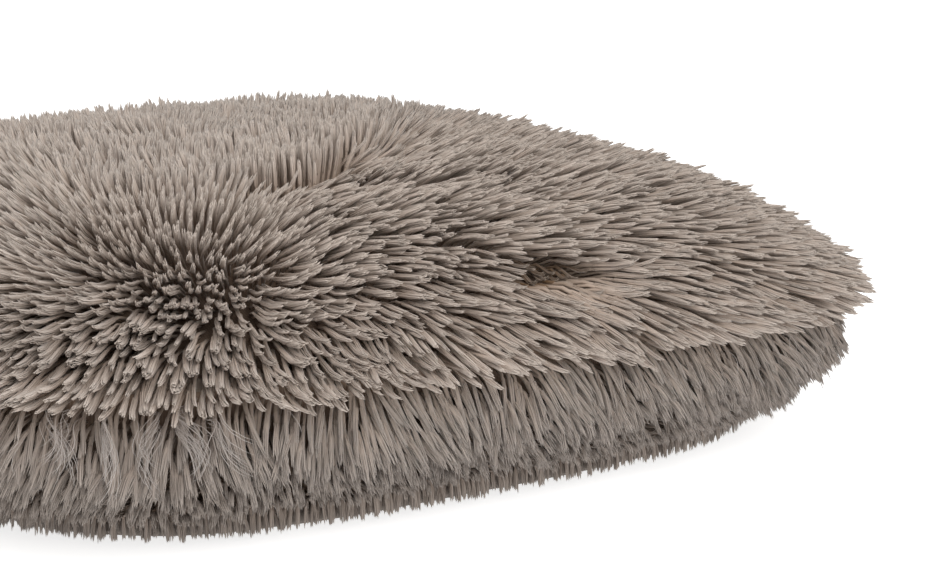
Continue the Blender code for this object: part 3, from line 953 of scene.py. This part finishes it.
def rods(starts, ends, radius, bow):
    """Short bowed threads from start to end, which rise by bow along +Z, or fall where it is below 0."""
    lift = UP * bow
    curves = np.stack([starts, starts * 0.7 + ends * 0.3 + lift, starts * 0.3 + ends * 0.7 + lift, ends], 1)
    t = np.array([0.0, 0.12, 0.35, 0.65, 0.88, 1.0])
    radii = radius * np.tile([0.5, 0.9, 1.0, 1.0, 0.8, 0.0], (len(starts), 1))
    across = unit(np.cross(unit(ends - starts), UP) + np.array([1e-6, 0.0, 0.0]))
    body = build_tubes(curves, t, across, radii, np.ones((1, 5)))
    return body.reshape(-1, 3), number_faces(len(body), body.shape[1], tube_faces(5, 5))


def stitch_line(path, pitch, gap=0.25):
    """Starts and ends of the stitches along a path of points."""
    step = np.linalg.norm(np.diff(path, axis=0), axis=1)
    run = np.concatenate([[0.0], np.cumsum(step)])
    first = np.arange(max(int(run[-1] / pitch), 1)) * pitch
    last = first + pitch * (1.0 - gap)
    return [np.stack([np.interp(where, run, path[:, k]) for k in range(3)], -1) for where in (first, last)]


def join_arrays(parts):
    """Join several (points, faces) pairs into one."""
    points, faces, start = [], [], 0
    for some, corners in parts:
        points.append(some)
        faces.append(corners + start)
        start += len(some)
    return np.concatenate(points), np.concatenate(faces)


def make_backing(look):
    """The knitted backing that the fur grows from: one shell above the seam and one below."""
    ribs = waves(51, 0.012)

    def push(points):
        return 0.0004 * ribs(points)

    outer = Form(WALL - BACKING, CAVITY_FLOOR - 0.001)
    inner = Form(WALL - 0.0004, CAVITY_FLOOR + 0.0002)
    for name, low, high, slot, node in (
        ("top_backing", 0.004, POLE, "plush_top", "top_plush_panel"),
        ("band_backing", BASE_SLOPE, -0.004, "plush_band", "lower_plush_band"),
    ):
        points, faces = shell(outer, inner, low, high, 60, 200, push)
        add_mesh(name, points, faces, look, node)


# ---- base

def base_reach(x, y):
    """How far points lie from the middle as a share of the base's reach there."""
    return outline_share(x, y, BASE_HALF, BASE_HALF)


def quilt(x, y):
    """Depth of the quilting's diamond channels at points of the base, from 0 to 1."""
    depth = np.zeros_like(x)
    for way in (1.0, -1.0):
        run = (x + way * y) / math.sqrt(2.0)
        off = np.abs((run / QUILT_PITCH + 0.5) % 1.0 - 0.5) * QUILT_PITCH
        depth = np.maximum(depth, bell(off, 0.0035))
    return depth


def base_under(x, y):
    """Height of the base's underside: quilted, with a hem, and rounded up at its edge."""
    edge = np.clip((1.0 - base_reach(x, y)) * BASE_HALF, 0.0, 1.0)
    turn = np.clip(1.0 - edge / BASE_ROUND, 0.0, 1.0)
    rise = BASE_EDGE * (1.0 - np.sqrt(np.maximum(1.0 - turn**2, 0.0)))
    hem = 0.0007 * bell(edge - BASE_ROUND - 0.004, 0.0014)
    wrinkle = 0.00025 * (1.0 + waves(61, 0.05)(xyz(x, y, 0.0).reshape(-1, 3)).reshape(x.shape))
    return DOT_HEIGHT + rise + hem + wrinkle + QUILT_DEPTH * quilt(x, y) * (turn < 0.05)


def base_over(x, y):
    """Height of the base's upper side, just under the inner cushion."""
    reach = np.minimum(base_reach(x, y) * BASE_HALF / (HALF_LENGTH - WALL), 1.0)
    fall = np.sqrt(np.maximum(1.0 - reach**CAVITY_POWER, 0.0))
    return SEAM_Z - (SEAM_Z - BASE_TOP) * fall - 0.0002


def base_edge(offset):
    """How far the base reaches one way, at an offset the other way."""
    room = np.maximum(1.0 - np.abs(offset / BASE_HALF) ** OUTLINE_POWER, 0.0)
    return BASE_HALF * room ** (1 / OUTLINE_POWER)


def base_grid(side):
    """Grids of x and y over the front (-1) or rear (+1) panel, up to the zip slot."""
    columns, rows = 170, 130
    slot_x = SLOT_HIGH.x + 0.0003
    slot_y = (SLOT_HIGH.y - SLOT_LOW.y) / 2 + 0.0003
    reach = (BASE_HALF if side < 0 else base_edge(ZIP_Y)) * 0.9995
    across = np.sin(np.linspace(-math.pi / 2, math.pi / 2, columns)) * reach
    across = np.sort(np.concatenate([across, [-slot_x - 1e-4, -slot_x, slot_x, slot_x + 1e-4]]))
    edge = base_edge(across)
    middle = ZIP_Y + side * np.where(np.abs(across) <= slot_x, slot_y, 0.0001)
    start = np.minimum(middle, edge) if side < 0 else np.maximum(middle, -edge)
    end = -edge if side < 0 else np.maximum(edge, start)
    y = start + (end - start) * np.sin(np.linspace(0.0, math.pi / 2, rows))[:, None]
    return np.repeat(across[None], rows, 0), y


def make_base(cloth):
    """The two padded and quilted panels of the base."""
    for name, side, node in (("base_front", -1, "base_panel_front"), ("base_rear", 1, "base_panel_rear")):
        x, y = base_grid(side)
        under, over = (xyz(x, y, height(x, y))[:, ::-1] for height in (base_under, base_over))
        points, faces = slab(under, over)
        add_mesh(name, points, faces, cloth, node)


def in_base(x, y, margin):
    """Whether points lie on a base panel, clear of its edge and of the zip slot."""
    inside = base_reach(x, y) * BASE_HALF < BASE_HALF - margin
    near_x = np.abs(x) < SLOT_HIGH.x + 0.004
    near_y = np.abs(y - ZIP_Y) < (SLOT_HIGH.y - SLOT_LOW.y) / 2 + 0.003
    return inside & ~(near_x & near_y)


def base_stitches(x, y, pitch):
    """Starts and ends of the stitches along a line on the underside."""
    return stitch_line(xyz(x, y, base_under(x, y) - 0.0001), pitch)


def channel_stitches(way, number):
    """Starts and ends of the stitches in one of the quilted channels that run the same way, or None where it
    misses the base."""
    run = np.linspace(-0.40, 0.40, 900)
    place = number * QUILT_PITCH
    x, y = (place + run) / math.sqrt(2.0), way * (place - run) / math.sqrt(2.0)
    if in_base(x, y, STITCH_INSET).sum() < 10:
        return None
    start, end = base_stitches(x, y, 0.0042)
    middle = (start + end) / 2
    fits = in_base(middle[:, 0], middle[:, 1], STITCH_INSET)
    return start[fits], end[fits]


def make_base_stitches(thread):
    """Stitches in the quilted channels, round the hem, and along both sides of the zip."""
    lines = [channel_stitches(way, number) for way in (1.0, -1.0) for number in range(-12, 13)]
    for inset in (BASE_ROUND + 0.0025, BASE_ROUND + 0.0055):
        x, y = outline(np.linspace(0.0, math.tau, 2400))
        lines.append(base_stitches(x * (BASE_HALF - inset), y * (BASE_HALF - inset), 0.0036))
    for side in (-1, 1):
        x = np.linspace(-SLOT_HIGH.x, SLOT_HIGH.x, 1200)
        y = np.full_like(x, ZIP_Y + side * ((SLOT_HIGH.y - SLOT_LOW.y) / 2 + 0.0022))
        lines.append(base_stitches(x, y, 0.0032))
    points, faces = join_arrays([rods(*line, STITCH_RADIUS, STITCH_BOW) for line in lines if line])
    add_mesh("base_stitching", points, faces, thread)


def make_dots(rubber):
    """Staggered anti-slip dots on the underside, each a low dome."""
    pitch = QUILT_PITCH / 3.0
    rows = (np.arange(-40, 41) + 0.5) * pitch
    u, v = np.meshgrid(rows, rows)
    x, y = (u + v) / math.sqrt(2.0), (u - v) / math.sqrt(2.0)
    good = in_base(x, y, BASE_ROUND + 0.010) & (np.abs(y - ZIP_Y) > 0.022)
    x, y = x[good][:, None], y[good][:, None]
    angle = np.arange(DOT_SIDES) * math.tau / DOT_SIDES
    level = base_under(x, y) + 0.0001
    parts = []
    for share, drop in DOT_RINGS:
        radius = DOT_RADIUS * share
        parts.append(xyz(x + radius * np.cos(angle), y - radius * np.sin(angle), level * (1.0 - drop)))
    body = np.concatenate([*parts, xyz(x, y, 0.0)], 1)
    faces = number_faces(len(body), body.shape[1], tube_faces(len(DOT_RINGS), DOT_SIDES))
    add_mesh("antislip_dots", body.reshape(-1, 3), faces, rubber)


# ---- zip, label and edges

def strip(name, look, node, ripple, rows):
    """A strip of tape in place of its CAD node, with selvedges and a slight ripple."""
    low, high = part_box(node)
    grid_x, grid_y = np.meshgrid(np.linspace(low.x, high.x, 260), np.linspace(low.y, high.y, rows))
    edge = np.minimum(grid_y - low.y, high.y - grid_y) / (high.y - low.y)
    middle = (low.z + high.z) / 2
    half = (high.z - low.z) / 2 * (0.62 + 0.38 * bell(edge, 0.07))
    shift = ripple * (high.z - low.z) / 2 * 0.3 * np.sin(grid_x * 190.0 + np.sin(grid_y * 400.0))
    under, over = (xyz(grid_x, grid_y, middle + shift + way * half) for way in (-1, 1))
    points, faces = slab(under, over)
    piece = add_mesh(name, points, faces, look, node)


def spiral(low, high, side):
    """Points and faces of one zip row's nylon wire, wound in a flat spiral along the row."""
    turns = int((high.x - low.x) / COIL_PITCH)
    turn = np.arange(turns * COIL_RINGS + 1) / COIL_RINGS
    angle = turn * math.tau + (0.0 if side < 0 else math.pi)
    half_y = (high.y - low.y) / 2 - COIL_WIRE
    half_z = (high.z - low.z) / 2 - COIL_WIRE
    x = low.x + COIL_WIRE + (high.x - low.x - 2 * COIL_WIRE) * turn / turns
    middle = (low + high) / 2
    points = xyz(x, middle.y + half_y * np.cos(angle), middle.z + half_z * np.sin(angle))
    way = unit(np.gradient(points, axis=0))
    out = unit(xyz(0.0, np.cos(angle) / half_y, np.sin(angle) / half_z))
    out = unit(out - way * dot(out, way))
    other = np.cross(way, out)
    ring = (np.arange(6) * math.tau / 6)[:, None]
    tube = points[:, None] + COIL_WIRE * (out[:, None] * np.cos(ring) + other[:, None] * np.sin(ring))
    return tube.reshape(-1, 3), capped(len(points), 6)


def capped(rings, sides):
    """Faces of a tube of rings with both ends closed."""
    count = rings * sides
    sleeve = [tuple(face) for face in grid_quads(rings, sides, wrap=True).tolist()]
    return sleeve + [tuple(reversed(range(sides))), tuple(range(count - sides, count))]


def make_coil(name, side, look, node):
    """One row of the zip: a spiral sewn round a cord."""
    low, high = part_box(node)
    wire, faces = spiral(low, high, side)
    middle = (low + high) / 2
    cord_y = middle.y + side * ((high.y - low.y) / 2 - COIL_WIRE) * 0.35
    ring = np.arange(8) * math.tau / 8
    x = np.linspace(low.x, high.x, 120)[:, None]
    cord = xyz(x, cord_y + 0.00045 * np.cos(ring), middle.z + 0.00030 * np.sin(ring))
    faces += [tuple(len(wire) + corner for corner in face) for face in capped(len(cord), 8)]
    add_mesh(name, np.concatenate([wire, cord.reshape(-1, 3)]), faces, look, node)


def make_label(look):
    """A blank care label with a turned edge at each end, hanging a little from its sewn side."""
    low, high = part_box("care_label")
    grid_x, grid_y = np.meshgrid(np.linspace(low.x, high.x, 40), np.linspace(low.y, high.y, 16))
    run = (grid_y - low.y) / (high.y - low.y)
    ends = np.minimum(grid_x - low.x, high.x - grid_x)
    turned = 0.5 + 0.5 * np.exp(-((ends / 0.0022) ** 4))
    top = high.z - 0.00035 * run**2 * (1.0 + 0.6 * np.sin(grid_x * 260.0))
    under = top - (high.z - low.z) * turned
    points, faces = slab(xyz(grid_x, grid_y, under), xyz(grid_x, grid_y, top))
    add_mesh("blank_label", points, faces, look, "care_label")


def make_seam_ring(look):
    """The sewn edges of both plush panels inside the seam."""
    around, rows = 640, 10
    bearings = np.linspace(0.0, math.tau, around, endpoint=False)
    ruffle = np.sin(bearings * 180.0) * 0.00018
    loops = {-1.0: [], 1.0: []}
    for share, half in product(np.linspace(0.0, 1.0, rows), loops):
        bulge = math.sqrt(max(1.0 - (2.0 * share - 1.0) ** 2, 0.0))
        inset = WALL - SEAM_FOLD / 2 + half * SEAM_FOLD / 2 * (0.35 + 0.55 * bulge)
        ring = Form(inset, 0.0).rim(bearings)
        ring[:, 2] = RING_LOW.z + (RING_HIGH.z - RING_LOW.z) * share
        ring[:, :2] *= (1.0 + ruffle / HALF_LENGTH)[:, None]
        loops[half].append(ring)
    loop = np.stack(loops[-1.0] + loops[1.0][::-1])
    k = np.arange(around)
    after = (k + 1) % around
    last = (len(loop) - 1) * around
    close = np.stack([last + k, last + after, after, k], -1)
    faces = np.concatenate([grid_quads(len(loop), around, wrap=True), close])
    add_mesh("seam_ring", loop.reshape(-1, 3), faces, look, "seam_allowance")


def make_overlock(thread):
    """The overlock thread round the sewn edges, in a zigzag from edge to edge."""
    low, high = RING_LOW.z, RING_HIGH.z
    path = Form(WALL - SEAM_FOLD / 2, 0.0).rim(np.linspace(0.0, math.tau, 2400))
    start, end = stitch_line(path, 0.0045, 0.0)
    lower = np.where(np.arange(len(start)) % 2 == 0, low + 0.0006, high - 0.0006)
    inward = unit(start * np.array([1.0, 1.0, 0.0])) * (SEAM_FOLD / 2 - 0.0002)
    start, end = start - inward, end - inward
    start[:, 2] = lower
    end[:, 2] = low + high - lower
    points, faces = rods(start, end, 0.00018, 0.0)
    add_mesh("overlock_thread", points, faces, thread)


# ---- inner cushion

def deeper_form(depth):
    """The ticking's form, less its own thickness and a depth more."""
    inside = TICKING_THICKNESS + depth
    return Form(TICKING_INSET + inside, CAVITY_FLOOR + inside)


def make_insert(cloth):
    """Two halves of ticking with soft creases."""
    crease = waves(71, 0.055)
    fine = waves(72, 0.016)

    def push(points):
        return np.minimum(-0.0010 - 0.0007 * crease(points) - 0.0002 * fine(points), -0.0001)

    outer = Form(TICKING_INSET, CAVITY_FLOOR)
    for name, low, high, node in (
        ("insert_top", 0.006, POLE, "insert_ticking_top"),
        ("insert_bottom", -POLE, -0.006, "insert_ticking_bottom"),
    ):
        points, faces = shell(outer, deeper_form(0.0020), low, high, 90, 260, push)
        add_mesh(name, points, faces, cloth, node)


def make_filling(fibre):
    """The lumpy filling inside the ticking."""
    lumps = waves(73, 0.03)

    def push(points):
        return np.minimum(-0.0012 - 0.0011 * lumps(points), 0.0)

    core = deeper_form(0.0026)
    rings, around = 80, 220
    faces = grid_quads(rings, around, wrap=True)
    skins = [form_skin(core, low, high, rings, around, push) for low, high in ((0.004, POLE), (-POLE, 0.004))]
    points, faces = join_arrays([(skin.reshape(-1, 3), faces) for skin in skins])
    add_mesh("fibre_filling", points, faces, fibre, "fibre_fill")


def make_insert_seam(thread):
    """The thread that closes the ticking round its edge."""
    path = Form(TICKING_INSET + 0.0002, 0.0).rim(np.linspace(0.0, math.tau, 2600))
    points, faces = rods(*stitch_line(path, 0.0035), 0.0002, 0.0)
    add_mesh("insert_seam_thread", points, faces, thread)


def dress_node(name, look):
    """Give a CAD node that stays a better material."""
    for node in bpy.data.objects:
        if node.type == "MESH" and node.name.split(".")[0] == name:
            for place in node.material_slots:
                place.material = look


# ---- stage

def aim_at(made, place, target):
    """Stand a lamp or the camera at a place, turned to its target."""
    made.location = place
    made.rotation_euler = (Vector(target) - Vector(place)).to_track_quat("-Z", "Y").to_euler()


def make_stage():
    """A pale floor, bright enough to run into the white surroundings."""
    look, _, _ = node_material(
        "studio_floor",
        Base_Color=(0.65, 0.65, 0.65, 1.0),
        Emission_Color=(1.0, 1.0, 1.0, 1.0),
        Emission_Strength=0.72,
        Roughness=1.0,
        Specular_IOR_Level=0.0,
    )
    mesh = bpy.data.meshes.new("studio_floor")
    corners = [(x * FLOOR_HALF, y * FLOOR_HALF, 0.0) for x, y in ((-1, -1), (1, -1), (1, 1), (-1, 1))]
    mesh.from_pydata(corners, [], [(0, 1, 2, 3)])
    mesh.materials.append(look)
    add_object("studio_floor", mesh)


def add_light(name, place, size, watts, color):
    lamp = bpy.data.lights.new(name, "AREA")
    lamp.shape = "DISK"
    lamp.size = size
    lamp.energy = watts
    lamp.color = color
    aim_at(add_object(name, lamp), place, LIGHT_AIM)


def make_light():
    """White surroundings, a soft key light from behind on the left, and a broad fill from the front."""
    world = bpy.data.worlds.new("studio")
    world.use_nodes = True
    set_inputs(world.node_tree.nodes["Background"], {"Color": (1.0, 1.0, 1.0, 1.0), "Strength": 1.0})
    bpy.context.scene.world = world
    add_light("key", (-0.9, 0.9, 2.0), 1.2, 10.0, (1.0, 0.985, 0.96))
    add_light("fill", (-0.2, -2.1, 1.3), 1.6, 29.0, (1.0, 0.99, 0.97))
    bpy.context.scene.view_settings.view_transform = "Standard"


def make_camera():
    camera = bpy.data.cameras.new("camera")
    camera.lens = CAMERA_LENS_MM
    camera.sensor_width = SENSOR_MM
    made = add_object("camera", camera)
    aim_at(made, CAMERA_PLACE, CAMERA_AIM)
    bpy.context.scene.camera = made


make_camera()
make_stage()
make_light()

cloths = {name: cloth_material(name, *values) for name, values in CLOTHS.items()}
thread = cloths["thread"]
# The band and the fringe take the darker band colours, with painted shade
band_fur = fur_material("band_fur", FUR_BAND_PAINTED_SHADE_STOPS, 0.14, 0.32)
metal = metal_material("plated_zinc", (0.30, 0.285, 0.265), (0.52, 0.50, 0.47))

# The cover: its pile on a knitted backing, and its base
make_backing(cloths["knit_backing"])
make_top_fur(fur_material("top_fur", FUR_TOP_STOPS, 0.20, 0.30))
make_band_fur(band_fur)
make_fringe(band_fur)
make_stray_fibres(fur_material("stray_fibre", STRAY_STOPS, 0.1, 0.2))
make_base(cloths["base_cloth"])
make_base_stitches(thread)
make_dots(cloths["antislip_rubber"])

# The zip, the label and the seam
strip("tape_front", cloths["woven_tape"], "zip_tape_front", 1.0, 14)
strip("tape_rear", cloths["woven_tape"], "zip_tape_rear", 1.0, 14)
strip("guard_strip", cloths["guard_cloth"], "zip_guard", 0.6, 30)
make_coil("coil_front", -1, cloths["nylon_coil"], "zip_coil_front")
make_coil("coil_rear", 1, cloths["nylon_coil"], "zip_coil_rear")
make_label(cloths["label_satin"])
make_seam_ring(cloths["seam_knit"])
make_overlock(thread)
for node in ("zip_slider", "zip_pull_tab", "zip_top_stop", "zip_bottom_stop"):
    dress_node(node, metal)

# The inner cushion
make_insert(cloths["ticking_cloth"])
make_filling(cloths["fibre_wadding"])
make_insert_seam(thread)
